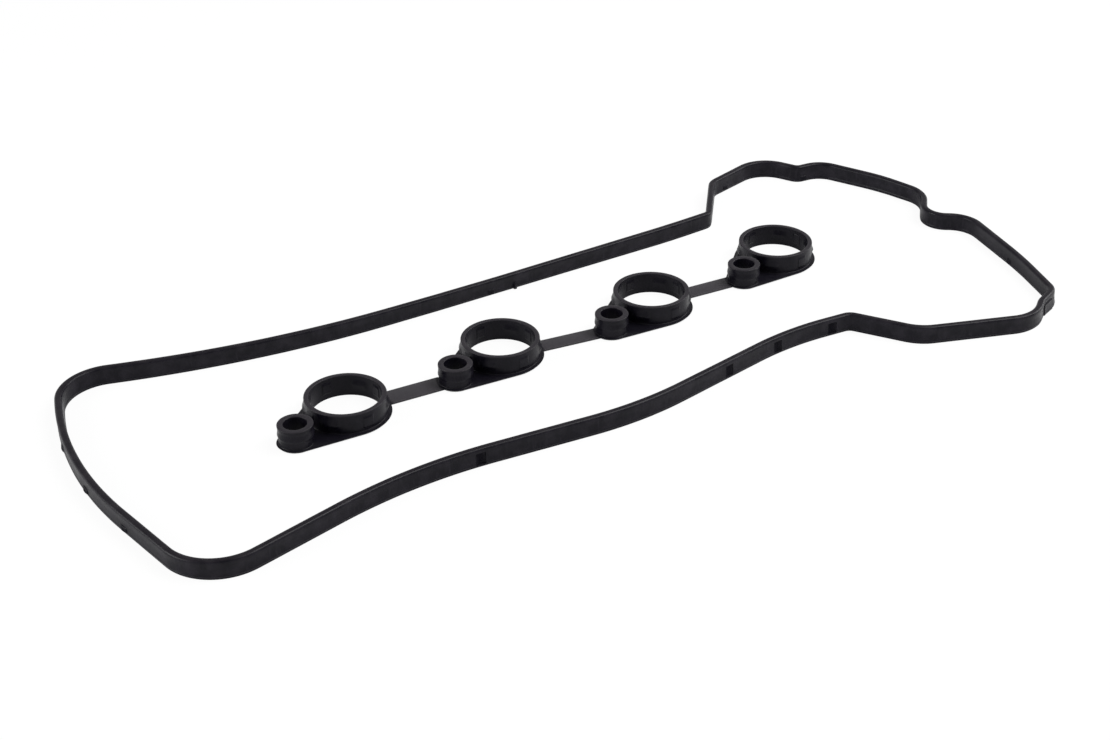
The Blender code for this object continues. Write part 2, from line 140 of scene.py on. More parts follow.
ringShape = {
    "height": 11.0 * mm,
    "outer": 19.5 * mm,
    "bore": 17.15 * mm,
    "rimRound": 0.4 * mm,
    "rootFillet": 0.5 * mm,
    "rows": 22,
    "angleGap": 2.5,
    "lugHeight": 5.8 * mm,
    "lugRise": 2.8 * mm,
    "outerLug": 1.0 * mm,
    "innerLug": 0.6 * mm,
    "lugHalf": 8.0,
    "lugFade": 7.0,
    "lugAngles": (38.0, 148.0, 218.0, 328.0),
    "crushRib": 0.35 * mm,
    "crushRibHalf": 7.0,
    "crushRibFade": 1.5,
    "crushRibAngles": (3.0, 93.0, 183.0, 273.0),
    "ripple": 0.06 * mm,
    "rippleSize": 9.0 * mm,
    "rimSteps": 4,
    "rootSteps": 4,
    "rootReach": 0.4,  # how far the foot lies inside the flange, as a share of the fillet
    "rootSink": 0.05 * mm,
    "footGap": 0.02 * mm,
    "leastTurn": 0.2,
}

boltShape = {
    "outer": 8.25 * mm,
    "bore": 5.6 * mm,
    "rimDepth": 0.2 * mm,
    "beadDepth": 0.4 * mm,
    "along": -30.9 * mm,
    "across": -8.4 * mm,
    "angleGap": 5.0,
    "swellReach": 1.0 * mm,
    "boreRows": 10,
}

flangeShape = {
    "thickness": 1.3 * mm,
    "margin": 2.0 * mm,
    "boltMargin": 1.1 * mm,
    "undercut": 1.0 * mm,
    "footLine": ((0.0, 1.0), (0.35, 0.55), (0.7, 0.12)),  # shares of the thickness and the undercut
    "edge": 0.25 * mm,
    "edgeBend": 0.3,
    "steps": 96,
    "cutReach": 2.0 * mm,
}

ribbonShape = {
    "thickness": 1.2 * mm,
    "lift": 0.1 * mm,
    "edgeRound": 0.3 * mm,
    "edgeSteps": 3,
    "wallReach": 0.6 * mm,  # how deep its ends reach into the rings' walls
    "stationGap": 2.0 * mm,
    "talcFade": 0.8 * mm,
}

# Each pair of rings: how far it lies along and across from its place in mm, and its turn
pairPlaces = (
    (-0.2, 0.6, 0.0),
    (-0.5, 1.9, -1.0),
    (1.0, -3.2, -1.0),
    (0.0, 0.6, 3.0),
)
# Each ribbon: its width, and how far across from the ring centres it starts and ends, in mm
ribbonPlaces = (
    (11.2, 2.5, 1.8),
    (9.4, -0.2, 0.7),
    (9.7, 3.75, 1.85),
)

rubberLook = {
    "colour": (0.0034, 0.0029, 0.0060),
    # This colour is the dusting and also the painted bounce light from the floor towards the foot
    "dustingAndBounceColour": (0.021, 0.0185, 0.0255),
    "talcColour": (0.060, 0.056, 0.063),
    "roughness": 0.34,
    "specular": 0.15,
    "grainSize": 0.55 * mm,
    "grainHeight": 0.05 * mm,
    "blotchSize": 7.0 * mm,
    "streakSize": 1.5 * mm,
    "footLightHeight": 2.6 * mm,  # painted bounce light from the floor reaches up to here
    "crownDepth": 0.7 * mm,  # how far the crown's paler colour, wear and painted sheen, reaches down
}

# How the wear is spread. A patch, a rub mark or the talc grows from the first to the second
# level of its noise
wearSpread = {
    "patch": (0.40, 0.66),
    "rub": (0.52, 0.72),
    "rubShare": 0.8,
    "rubStretch": 0.12,  # below 1, so the rub marks stand upright
    "talc": (0.3, 0.7),
    "leastTalc": 0.75,
    "patchRoughness": 0.30,
    "shadedMarkRoughness": 0.5,
    "grainBump": 0.5,
    "patchBump": 0.2,
    "rubBump": 0.6,
}

# Each piece's own wear and painted light: its dusting with the painted bounce light towards the foot, its
# crown's colour with its painted sheen, and how evenly that lies
sealWear = {
    "dustingAndBounce": 0.55,
    # the crown's paler colour: wear and painted sheen on the top
    "crownWearAndSheenColour": (0.018, 0.0155, 0.019),
    "crownCover": 0.55,
}
stripWear = {
    "dustingAndBounce": 0.25,
    # the rims' paler colour: wear and painted sheen on the top
    "crownWearAndSheenColour": (0.030, 0.027, 0.032),
    "crownCover": 0.8,
}

# The camera aims at a point that is measured from the plan's origin
cameraPlace = {
    "aim": (-0.03034, -0.02452, 0.0),
    "azimuth": -34.62,
    "elevation": 31.01,
    "distance": 0.8955,
    "roll": -0.898,
    "lens": 59.65,
    "sensor": 36.0,
    "nearest": 0.05,
    "farthest": 40.0,
}

# Each lamp: where it stands from the middle of the set, its size in metres and its power
lamps = {
    "topLamp": {"place": (0.75, -0.5, 1.25), "size": 0.9, "power": 17.0},
    "leftLamp": {"place": (-1.35, 0.45, 0.5), "size": 0.9, "power": 13.5},
    "rightLamp": {"place": (1.4, -0.3, 0.6), "size": 0.7, "power": 7.5},
}

floorLook = {
    "size": 12.0,
    "colour": 0.8,
    "whiteGlow": 0.93,
    "shadowShare": 0.09,
    "mirrorShare": 0.3,  # how far the rubber mirrors a floor without shadow
    "worldLight": 0.4,
    "ceilingLight": 0.3,
    "ceilingStart": 0.08,
    "ceilingFull": 0.35,
}


def wellX(index):
    return (index - (wellRow["count"] - 1) / 2.0) * wellRow["pitch"]


def fromWell(index, along, across):
    return Vector((wellX(index) + along * mm, across * mm, 0.0))


def heading(angle):
    return Vector((math.cos(angle), math.sin(angle), 0.0))


# The seal's path

def roundedPath(corners):
    # Straight and round stretches of the closed line: start, direction, length and curvature
    count = len(corners)
    points = [fromWell(*corner[:3]) for corner in corners]
    edges = [points[(i + 1) % count] - points[i] for i in range(count)]
    angles = [math.atan2(edge.y, edge.x) for edge in edges]
    turns = [(angles[i] - angles[i - 1] + math.pi) % math.tau - math.pi for i in range(count)]
    reach = [corners[i][3] * mm * math.tan(abs(turns[i]) / 2.0) for i in range(count)]
    limits = [1.0] * count
    for i in range(count):
        j = (i + 1) % count
        if reach[i] + reach[j] > edges[i].length:
            share = edges[i].length / (reach[i] + reach[j])
            limits[i] = min(limits[i], share)
            limits[j] = min(limits[j], share)
    stretches = []
    knots = []
    travelled = 0.0
    for i in range(count):
        j = (i + 1) % count
        radius = corners[i][3] * mm * limits[i]
        setback = reach[i] * limits[i]
        arc = radius * abs(turns[i])
        start = points[i] - heading(angles[i - 1]) * setback
        stretches.append((start, angles[i - 1], arc, math.copysign(1.0 / radius, turns[i])))
        knots.append((travelled + arc / 2.0, corners[i][4] * mm))
        straight = edges[i].length - setback - reach[j] * limits[j]
        stretches.append((points[i] + heading(angles[i]) * setback, angles[i], max(straight, 0.0), 0.0))
        travelled += arc + max(straight, 0.0)
    return stretches, knots, travelled


def pathSpot(stretches, travelled):
    # The point on the path at a distance from its start, and its outward side
    for start, angle, length, curvature in stretches:
        if travelled <= length:
            break
        travelled -= length
    turned = angle + curvature * travelled
    if curvature:
        step = Vector((math.sin(turned) - math.sin(angle), math.cos(angle) - math.cos(turned), 0.0))
        point = start + step / curvature
    else:
        point = start + heading(angle) * travelled
    return point, heading(turned + math.pi / 2.0)


def fadedMask(distance, half, fade):
    return np.clip((half + fade - np.abs(distance)) / fade, 0.0, 1.0)


def roundMask(distance, half):
    # The rise of an arc over its own length
    return np.sqrt(np.clip(1.0 - (distance / half) ** 2, 0.0, 1.0))


def sealStations(shape):
    # Stations along the seal, closer at the edges of what is moulded into its walls
    stretches, knots, total = roundedPath(sealCorners)
    coarse = np.arange(0.0, total, shape["stationGap"])
    coarseSpots = np.array([pathSpot(stretches, run)[0] for run in coarse])
    places = list(coarse)
    centres = {}
    for name, relief in sealRelief.items():
        centres[name] = []
        for place in relief["places"]:
            gaps = np.linalg.norm(coarseSpots - np.array(fromWell(*place)), axis=1)
            near = coarse[int(np.argmin(gaps))]
            finer = np.arange(near - shape["stationGap"], near + shape["stationGap"], shape["searchStep"])
            gaps = [(pathSpot(stretches, run % total)[0] - fromWell(*place)).length for run in finer]
            centre = finer[int(np.argmin(gaps))] % total
            centres[name].append(centre)
            half = relief["length"] / 2.0
            edges = [-half - shape["edgeFade"], -half, half, half + shape["edgeFade"]]
            if relief["form"] != "flat":
                turns = range(-90, 91, shape["reliefTurn"])
                edges = [half * math.sin(math.radians(degrees)) for degrees in turns]
            places += [(centre + edge) % total for edge in edges]
    places = np.array(sorted(places))
    keep = np.append(np.diff(places) > shape["leastStation"], True)
    places = places[keep]
    spots = [pathSpot(stretches, run) for run in places]
    knotPlaces = [run for run, lean in knots]
    leans = np.interp(places, knotPlaces, [lean for run, lean in knots], period=total)
    masks = {}
    for name, relief in sealRelief.items():
        masks[name] = np.zeros(len(places))
        for centre in centres[name]:
            away = (places - centre + total / 2.0) % total - total / 2.0
            half = relief["length"] / 2.0
            flat = relief["form"] == "flat"
            masks[name] += fadedMask(away, half, shape["edgeFade"]) if flat else roundMask(away, half)
    return {
        "spot": np.array([spot for spot, side in spots]),
        "outward": np.array([side for spot, side in spots]),
        "lean": leans,
        "masks": masks,
        "closed": True,
    }


# Sections. Each is a closed line of (across, up), with how much of each relief a point takes

def roundCorner(centre, radius, first, last, steps):
    # Points on an arc from one angle to another, in degrees
    arc = []
    for step in range(steps + 1):
        angle = math.radians(first + (last - first) * step / steps)
        arc.append((centre[0] + radius * math.cos(angle), centre[1] + radius * math.sin(angle)))
    return arc


def wallAcross(shape, up):
    # The seal's half width at a height: a bead near the foot and a waist half way up
    half = shape["width"] / 2.0
    away = abs(up - shape["beadHeight"])
    if away < shape["beadHalf"]:
        return half + shape["beadDepth"] * (1.0 + math.cos(math.pi * away / shape["beadHalf"])) / 2.0
    shoulder = shape["height"] - shape["crownRadius"]
    stops = (shape["beadHeight"] + shape["beadHalf"], shape["waistHeight"], shoulder)
    return half - float(np.interp(up, stops, (0.0, shape["waistDepth"], 0.0)))


def sealSection(shape):
    half = shape["width"] / 2.0
    foot = shape["footRadius"]
    shoulder = shape["height"] - shape["crownRadius"]
    gap = shape["rowGap"]
    levels = set(np.arange(foot + gap, shoulder - gap / 2.0, gap).round(6))
    for step in range(-shape["beadSteps"], shape["beadSteps"] + 1):
        levels.add(round(shape["beadHeight"] + shape["beadHalf"] * step / shape["beadSteps"], 6))
    for relief in sealRelief.values():
        for level in (relief["low"], relief["high"]):
            levels.add(round(level, 6))
            levels.add(round(level + math.copysign(shape["edgeFade"], level - shape["height"] / 2.0), 6))
    outer = roundCorner((half - foot, foot), foot, -90.0, 0.0, shape["footSteps"])
    last = foot
    for level in sorted(levels):
        if level - last > shape["leastRow"] and level < shoulder - shape["shoulderGap"]:
            outer.append((wallAcross(shape, level), level))
            last = level
    crown = shape["crownRadius"]
    outer += roundCorner((half - crown, shoulder), crown, 0.0, 90.0, shape["crownSteps"])
    points = outer + [(-across, up) for across, up in reversed(outer)]
    shares = {}
    for name, relief in sealRelief.items():
        middle = (relief["low"] + relief["high"]) / 2.0
        tall = (relief["high"] - relief["low"]) / 2.0
        side = relief["side"]
        shares[name] = []
        for across, up in points:
            flat = relief["form"] != "pip"
            share = fadedMask(up - middle, tall, shape["edgeFade"]) if flat else roundMask(up - middle, tall)
            shares[name].append(side * float(share) if across * side > 0.0 else 0.0)
    return {"points": points, "shares": shares}


def ringLugShare(shape, up):
    return max(0.0, 1.0 - abs(up - shape["lugHeight"]) / shape["lugRise"])


def ringRibShare(shape, up):
    return float(fadedMask(up - shape["lugHeight"], shape["lugRise"] - shape["rimRound"], shape["rimRound"]))


def rootPoints(outer, ring):
    # The foot of a ring's outer face and the fillet with which it leaves the flange
    fillet = ring["rootFillet"]
    points = [(outer + ring["rootReach"] * fillet, ring["footGap"])]
    for step in range(ring["rootSteps"] + 1):
        angle = math.radians(90.0 * step / ring["rootSteps"])
        up = flangeShape["thickness"] + fillet * (1.0 - math.cos(angle)) - ring["rootSink"]
        points.append((outer + fillet * (1.0 - math.sin(angle)), up))
    return points


def rimPoints(outer, bore, ring):
    # Over the rim, from the outer face to the bore
    rim = ring["rimRound"]
    level = ring["height"] - rim
    points = roundCorner((outer - rim, level), rim, 0.0, 90.0, ring["rimSteps"])
    return points + roundCorner((bore + rim, level), rim, 90.0, 180.0, ring["rimSteps"])


def wallHeights(ring):
    # Levels of a ring's wall between its root and its rim
    low = flangeShape["thickness"] + ring["rootFillet"]
    return np.linspace(low, ring["height"] - ring["rimRound"], ring["rows"])[1:-1]


def ringSection(shape):
    # From the foot up the outer face, over the rim and down the bore
    heights = wallHeights(shape)
    points = rootPoints(shape["outer"], shape)
    points += [(shape["outer"], up) for up in heights]
    points += rimPoints(shape["outer"], shape["bore"], shape)
    points += [(shape["bore"], up) for up in reversed(heights)]
    points.append((shape["bore"], shape["footGap"]))
    middle = (shape["outer"] + shape["bore"]) / 2.0
    return {
        "points": points,
        "shares": {
            "outerLug": [ringLugShare(shape, up) if across > middle else 0.0 for across, up in points],
            "innerLug": [-ringLugShare(shape, up) if across < middle else 0.0 for across, up in points],
            "crushRib": [ringRibShare(shape, up) * (1.0 if across > middle else -1.0)
                         for across, up in points],
        },
    }


def boltSection(shape, ring):
    # As the large ring's, with a bead half way up and a lip at the rim
    reach = shape["swellReach"]
    neck = (ring["height"] + ring["lugHeight"]) / 2.0
    stops = (ring["lugHeight"] - reach, ring["lugHeight"], neck, ring["height"] - reach)
    swells = (0.0, shape["beadDepth"], 0.0, shape["rimDepth"])
    points = rootPoints(shape["outer"], ring)
    for up in wallHeights(ring):
        points.append((shape["outer"] + float(np.interp(up, stops, swells)), up))
    points += rimPoints(shape["outer"] + shape["rimDepth"], shape["bore"], ring)
    down = np.linspace(ring["height"] - ring["rimRound"], ring["footGap"], shape["boreRows"])
    points += [(shape["bore"], up) for up in down[1:]]
    return {"points": points, "shares": {}}


def ribbonSection(width, shape):
    rim = shape["edgeRound"]
    low = shape["lift"]
    high = low + shape["thickness"]
    half = width / 2.0
    corners = (
        (half - rim, low + rim, -90.0), (half - rim, high - rim, 0.0),
        (-half + rim, high - rim, 90.0), (-half + rim, low + rim, 180.0),
    )
    points = []
    for across, up, first in corners:
        points += roundCorner((across, up), rim, first, first + 90.0, shape["edgeSteps"])
    return {"points": points, "shares": {}}


# Stations round a ring, at the origin

def angleMask(angles, centres, half, fade):
    # A soft-edged mask round a ring, 1 within the half angle of each centre
    away = np.min([np.abs((angles - centre + 180.0) % 360.0 - 180.0) for centre in centres], axis=0)
    share = fadedMask(away, half, fade)
    return share * share * (3.0 - 2.0 * share)


def ringStations(shape, gap, lugs):
    angles = set(np.arange(0.0, 360.0, gap).round(4))
    masks = {}
    if lugs:
        half, fade = shape["crushRibHalf"], shape["crushRibFade"]
        for centre in shape["crushRibAngles"]:
            for edge in (-half - fade, -half - fade / 2.0, -half, half, half + fade / 2.0, half + fade):
                angles.add(round((centre + edge) % 360.0, 4))
    angles = np.array(sorted(angles))
    angles = angles[np.append(np.diff(angles) > shape["leastTurn"], True)]
    if lugs:
        lug = angleMask(angles, shape["lugAngles"], shape["lugHalf"], shape["lugFade"])
        rib = angleMask(angles, shape["crushRibAngles"], shape["crushRibHalf"], shape["crushRibFade"])
        masks = {"outerLug": lug, "innerLug": lug, "crushRib": rib}
    turns = np.radians(angles)
    outward = np.stack([np.cos(turns), np.sin(turns), np.zeros(len(turns))], 1)
    return {
        "spot": np.zeros((len(turns), 3)),
        "outward": outward,
        "lean": np.zeros(len(turns)),
        "masks": masks,
        "closed": True,
    }


# Node trees

def newTree(name, inputs):
    tree = bpy.data.node_groups.new(name, "GeometryNodeTree")
    tree.is_modifier = True
    tree.interface.new_socket("Geometry", in_out="INPUT", socket_type="NodeSocketGeometry")
    tree.interface.new_socket("Geometry", in_out="OUTPUT", socket_type="NodeSocketGeometry")
    for label, kind in inputs.items():
        tree.interface.new_socket(label, in_out="INPUT", socket_type="NodeSocket" + kind)
    return tree


def addNode(tree, kind, links=(), **settings):
    # A node with its settings, and its inputs linked to sockets or set to values by name
    node = tree.nodes.new(kind)
    for key, value in settings.items():
        setattr(node, key, value)
    for key, value in dict(links).items():
        if isinstance(value, bpy.types.NodeSocket):
            tree.links.new(value, node.inputs[key])
        else:
            node.inputs[key].default_value = value
    return node


def namedValue(tree, name, kind="FLOAT"):
    node = addNode(tree, "GeometryNodeInputNamedAttribute", {"Name": name}, data_type=kind)
    return node.outputs["Attribute"]


def mathNode(tree, operation, first, second=0.0):
    return addNode(tree, "ShaderNodeMath", {0: first, 1: second}, operation=operation).outputs[0]


def vectorNode(tree, operation, first, second):
    return addNode(tree, "ShaderNodeVectorMath", {0: first, 1: second}, operation=operation).outputs[0]


def scaledNode(tree, vector, factor):
    return addNode(tree, "ShaderNodeVectorMath", {0: vector, "Scale": factor}, operation="SCALE").outputs[0]


def rangeNode(tree, value, first, last, low, high):
    # Low where the value is at its first level, high at its last
    return addNode(tree, "ShaderNodeMapRange", {0: value, 1: first, 2: last, 3: low, 4: high}).outputs[0]


def mixNode(tree, share, first, second):
    return addNode(tree, "ShaderNodeMix", {0: share, 6: first, 7: second}, data_type="RGBA").outputs[2]


def noiseNode(tree, vector, scale, detail):
    links = {"Vector": vector, "Scale": scale, "Detail": detail}
    return addNode(tree, "ShaderNodeTexNoise", links).outputs["Fac"]


def endTree(tree, geometry, material):
    # Every tree ends as one plain painted mesh
    whole = addNode(tree, "GeometryNodeRealizeInstances", {"Geometry": geometry}).outputs[0]
    painted = addNode(tree, "GeometryNodeSetMaterial", {"Geometry": whole, "Material": material})
    addNode(tree, "NodeGroupOutput", {"Geometry": painted.outputs[0]})
    return tree


def sweepTree(reliefs):
    # Sweeps a section along a line of stations. Each relief moves the wall by its own depth,
    # where the station's mask and the section's share meet, and the crown leans outwards
    inputs = {"Section": "Object", "Height": "Float", "Caps": "Bool"}
    inputs.update({name: "Float" for name in ["Ripple", "Ripple Size"] + list(reliefs)})
    inputs["Material"] = "Material"
    tree = newTree("sweepSection", inputs)
    given = addNode(tree, "NodeGroupInput").outputs
    line = addNode(tree, "GeometryNodeMeshToCurve", {"Mesh": given["Geometry"]})
    section = addNode(tree, "GeometryNodeObjectInfo", {"Object": given["Section"]})
    profile = addNode(tree, "GeometryNodeMeshToCurve", {"Mesh": section.outputs["Geometry"]})
    swept = addNode(tree, "GeometryNodeCurveToMesh", {
        "Curve": line.outputs[0], "Profile Curve": profile.outputs[0], "Fill Caps": given["Caps"],
    })
    up = namedValue(tree, "up")
    rise = mathNode(tree, "DIVIDE", up, given["Height"])
    leaning = mathNode(tree, "MULTIPLY", namedValue(tree, "lean"), rise)
    across = mathNode(tree, "ADD", namedValue(tree, "across"), leaning)
    # The round grooves and pips are marked for painted shade
    bare = 0.0
    for name in reliefs:
        share = mathNode(tree, "MULTIPLY", namedValue(tree, name + "Mask"), namedValue(tree, name + "Share"))
        across = mathNode(tree, "ADD", across, mathNode(tree, "MULTIPLY", share, given[name]))
        if sealRelief.get(name, {}).get("form") in ("round", "pip"):
            bare = mathNode(tree, "ADD", bare, mathNode(tree, "ABSOLUTE", share))
    side = scaledNode(tree, namedValue(tree, "outward", "FLOAT_VECTOR"), across)
    lifted = addNode(tree, "ShaderNodeCombineXYZ", {"Z": up}).outputs[0]
    spot = namedValue(tree, "spot", "FLOAT_VECTOR")
    place = vectorNode(tree, "ADD", spot, vectorNode(tree, "ADD", side, lifted))
    # The small grooves and pips are marked: there the colour takes no dusting, which paints shade into them
    marked = addNode(tree, "GeometryNodeStoreNamedAttribute", {
        "Geometry": swept.outputs[0], "Name": "bare", "Value": bare,
    }, data_type="FLOAT", domain="POINT")
    placed = addNode(tree, "GeometryNodeSetPosition", {"Geometry": marked.outputs[0], "Position": place})
    # The soft rubber's slight unevenness
    scale = mathNode(tree, "DIVIDE", 1.0, given["Ripple Size"])
    noise = addNode(tree, "ShaderNodeTexNoise", {"Scale": scale, "Detail": 1.0})
    swing = vectorNode(tree, "SUBTRACT", noise.outputs["Color"], (0.5, 0.5, 0.5))
    level = vectorNode(tree, "MULTIPLY", scaledNode(tree, swing, given["Ripple"]), (1.0, 1.0, 0.0))
    rippled = addNode(tree, "GeometryNodeSetPosition", {"Geometry": placed.outputs[0], "Offset": level})
    return endTree(tree, rippled.outputs[0], given["Material"])


def repeatTree():
    # A copy of one piece on every point, turned by the point's own angle
    tree = newTree("pairAtEachWell", {"Piece": "Object", "Material": "Material"})
    given = addNode(tree, "NodeGroupInput").outputs
    piece = addNode(tree, "GeometryNodeObjectInfo", {"Object": given["Piece"]})
    turn = addNode(tree, "ShaderNodeCombineXYZ", {"Z": namedValue(tree, "turn")}).outputs[0]
    rotation = addNode(tree, "FunctionNodeEulerToRotation", {0: turn}).outputs[0]
    copies = addNode(tree, "GeometryNodeInstanceOnPoints", {
        "Points": given["Geometry"], "Instance": piece.outputs["Geometry"], "Rotation": rotation,
    })
    return endTree(tree, copies.outputs[0], given["Material"])


def lineObject(name, points, closed, values):
    # A line of points with named values on them, for a tree to read
    count = len(points)
    edges = [(i, i + 1) for i in range(count - 1)]
    if closed:
        edges.append((count - 1, 0))
    mesh = bpy.data.meshes.new(name)
    mesh.from_pydata([tuple(point) for point in points], edges, [])
    for key, numbers in values.items():
        numbers = np.asarray(numbers, np.float32)
        if numbers.ndim == 2:
            mesh.attributes.new(key, "FLOAT_VECTOR", "POINT").data.foreach_set("vector", numbers.ravel())
        else:
            mesh.attributes.new(key, "FLOAT", "POINT").data.foreach_set("value", numbers)
    line = bpy.data.objects.new(name, mesh)
    bpy.context.scene.collection.objects.link(line)
    return line


def grown(base, tree, values, name):
    # The tree's result on the base object as a plain mesh. The helpers are removed
    modifier = base.modifiers.new("grow", "NODES")
    modifier.node_group = tree
    identifiers = {item.name: item.identifier for item in tree.interface.items_tree if item.in_out == "INPUT"}
    for key, value in values.items():
        modifier[identifiers[key]] = value
    depsgraph = bpy.context.evaluated_depsgraph_get()
    mesh = bpy.data.meshes.new_from_object(base.evaluated_get(depsgraph))
    for helper in [base] + [value for value in values.values() if isinstance(value, bpy.types.Object)]:
        bpy.data.objects.remove(helper, do_unlink=True)
    mesh.name = name
    return facingOut(name, mesh)


def facingOut(name, mesh):
    build = bmesh.new()
    build.from_mesh(mesh)
    bmesh.ops.remove_doubles(build, verts=build.verts, dist=0.001 * mm)
    bmesh.ops.recalc_face_normals(build, faces=build.faces)
    build.to_mesh(mesh)
    build.free()
    for attribute in [item.name for item in mesh.attributes if not item.is_internal and not item.is_required]:
        if attribute.endswith(("Mask", "Share")) or attribute in ("spot", "outward", "lean", "across", "up"):
            mesh.attributes.remove(mesh.attributes[attribute])
    piece = bpy.data.objects.new(name, mesh)
    bpy.context.scene.collection.objects.link(piece)
    return piece


def sweptPiece(name, stations, section, depths, shape, material):
    points = section["points"]
    values = {"across": [point[0] for point in points], "up": [point[1] for point in points]}
    values.update({key + "Share": share for key, share in section["shares"].items()})
    sectionLine = lineObject(name + "Section", [(point[0], point[1], 0.0) for point in points], True, values)
    values = {"spot": stations["spot"], "outward": stations["outward"], "lean": stations["lean"]}
    values.update({key + "Mask": mask for key, mask in stations["masks"].items()})
    route = stations["spot"] + stations["outward"]
    stationLine = lineObject(name + "Line", route, stations["closed"], values)
    given = {
        "Section": sectionLine,
        "Height": shape["height"],
        "Caps": not stations["closed"],
        "Ripple": shape["ripple"],
        "Ripple Size": shape["rippleSize"],
        "Material": material,
    }
    given.update(depths)
    return grown(stationLine, sweepTree(list(depths)), given, name)


def combined(body, tool, operation):
    # Joins the tool to the body, or cuts it away
    step = body.modifiers.new(operation, "BOOLEAN")
    step.operation = operation
    step.solver = "EXACT"
    step.object = tool
    depsgraph = bpy.context.evaluated_depsgraph_get()
    result = bpy.data.meshes.new_from_object(body.evaluated_get(depsgraph))
    body.modifiers.clear()
    body.data = result
    bpy.data.objects.remove(tool, do_unlink=True)
    return body


# The pieces

def stacked(name, rings):
    # A closed body through rings of points, capped at both ends
    build = bmesh.new()
    loops = [[build.verts.new(point) for point in ring] for ring in rings]
    build.faces.new(loops[0])
    build.faces.new(loops[-1])
    for here, there in zip(loops, loops[1:]):
        for i in range(len(here)):
            j = (i + 1) % len(here)
            build.faces.new((here[i], here[j], there[j], there[i]))
    bmesh.ops.recalc_face_normals(build, faces=build.faces)
    mesh = bpy.data.meshes.new(name)
    build.to_mesh(mesh)
    build.free()
    body = bpy.data.objects.new(name, mesh)
    bpy.context.scene.collection.objects.link(body)
    return body


def flangePlate(shape, ring, bolt):
    # A plate drawn tight round the two rings. Its foot is drawn in under the edge
    centre = Vector((bolt["along"], bolt["across"], 0.0))
    direction = math.atan2(centre.y, centre.x)
    large = ring["outer"] + shape["margin"]
    small = bolt["outer"] + shape["boltMargin"]
    tangent = math.acos((large - small) / centre.length)
    top = shape["thickness"]
    levels = [(rise * top, share * shape["undercut"]) for rise, share in shape["footLine"]]
    bend = shape["edgeBend"] * shape["edge"]
    levels += [(top - shape["edge"], 0.0), (top - bend, bend), (top, shape["edge"])]
    rings = []
    for up, inset in levels:
        outline = []
        for middle, radius, first, last, steps in (
            (centre, small - inset, -tangent, tangent, shape["steps"] // 3),
            (Vector(), large - inset, tangent, math.tau - tangent, shape["steps"]),
        ):
            for k in range(steps + 1):
                spot = middle + heading(direction + first + (last - first) * k / steps) * radius
                outline.append((spot.x, spot.y, up))
        rings.append(outline)
    return stacked("flange", rings)


def roundCutter(name, centre, radius, steps):
    reach = flangeShape["cutReach"]
    rings = []
    for up in (-reach, flangeShape["thickness"] + reach):
        middle = centre + Vector((0.0, 0.0, up))
        rings.append([middle + heading(math.tau * k / steps) * radius for k in range(steps)])
    return stacked(name, rings)


def ringPair(material):
    # One pair at the origin: the flange, the plug-well ring and the bolt ring, in one body
    bolt = Vector((boltShape["along"], boltShape["across"], 0.0))
    pair = flangePlate(flangeShape, ringShape, boltShape)
    pair.name = "ringPair"
    wellHole = (ringShape["bore"] + ringShape["outer"]) / 2.0
    boltHole = (boltShape["bore"] + boltShape["outer"]) / 2.0
    steps = flangeShape["steps"]
    combined(pair, roundCutter("wellHole", Vector(), wellHole, steps), "DIFFERENCE")
    combined(pair, roundCutter("boltHole", bolt, boltHole, steps // 2), "DIFFERENCE")
    depths = {name: ringShape[name] for name in ("outerLug", "innerLug", "crushRib")}
    stations = ringStations(ringShape, ringShape["angleGap"], True)
    wellRing = sweptPiece("wellRing", stations, ringSection(ringShape), depths, ringShape, material)
    combined(pair, wellRing, "UNION")
    stations = ringStations(ringShape, boltShape["angleGap"], False)
    stations["spot"] = stations["spot"] + np.array(bolt)
    boltRing = sweptPiece("boltRing", stations, boltSection(boltShape, ringShape), {}, ringShape, material)
    return combined(pair, boltRing, "UNION")


def pairCentres():
    centres = []
    for index, (along, across, degrees) in enumerate(pairPlaces):
        turn = math.radians(degrees)
        well = fromWell(index, along, across)
        bolt = Vector((boltShape["along"], boltShape["across"], 0.0))
        centres.append((well, well + Matrix.Rotation(turn, 3, "Z") @ bolt, turn))
    return centres


def ribbonPiece(index, start, end, place, material):
    # A flat strip from the wall of one pair's large ring to the next pair's small one
    width, fromStart, toEnd = place
    start = start + Vector((0.0, fromStart * mm, 0.0))
    end = end + Vector((0.0, toEnd * mm, 0.0))
    along = (end - start).normalized()
    first = start + along * (ringShape["bore"] + ribbonShape["wallReach"])
    last = end - along * (boltShape["bore"] + ribbonShape["wallReach"])
    count = max(2, round((last - first).length / ribbonShape["stationGap"]))
    spots = [first.lerp(last, k / count) for k in range(count + 1)]
    side = Vector((-along.y, along.x, 0.0))
    stations = {
        "spot": np.array(spots),
        "outward": np.array([side] * (count + 1)),
        "lean": np.zeros(count + 1),
        "masks": {},
        "closed": False,
    }
    shape = {"height": ringShape["height"], "ripple": 0.0, "rippleSize": ringShape["rippleSize"]}
    return sweptPiece(f"ribbon{index}", stations, ribbonSection(width * mm, ribbonShape), {}, shape, material)


def plugWellStrip(material):
    centres = pairCentres()
    points = [well for well, bolt, turn in centres]
    wells = lineObject("wells", points, False, {"turn": [turn for well, bolt, turn in centres]})
    strip = grown(wells, repeatTree(), {"Piece": ringPair(material), "Material": material}, "plugWellSeal")
    for index, place in enumerate(ribbonPlaces):
        ribbon = ribbonPiece(index, centres[index][0], centres[index + 1][1], place, material)
        combined(strip, ribbon, "UNION")
    powderRibbons(strip, centres)
    return strip


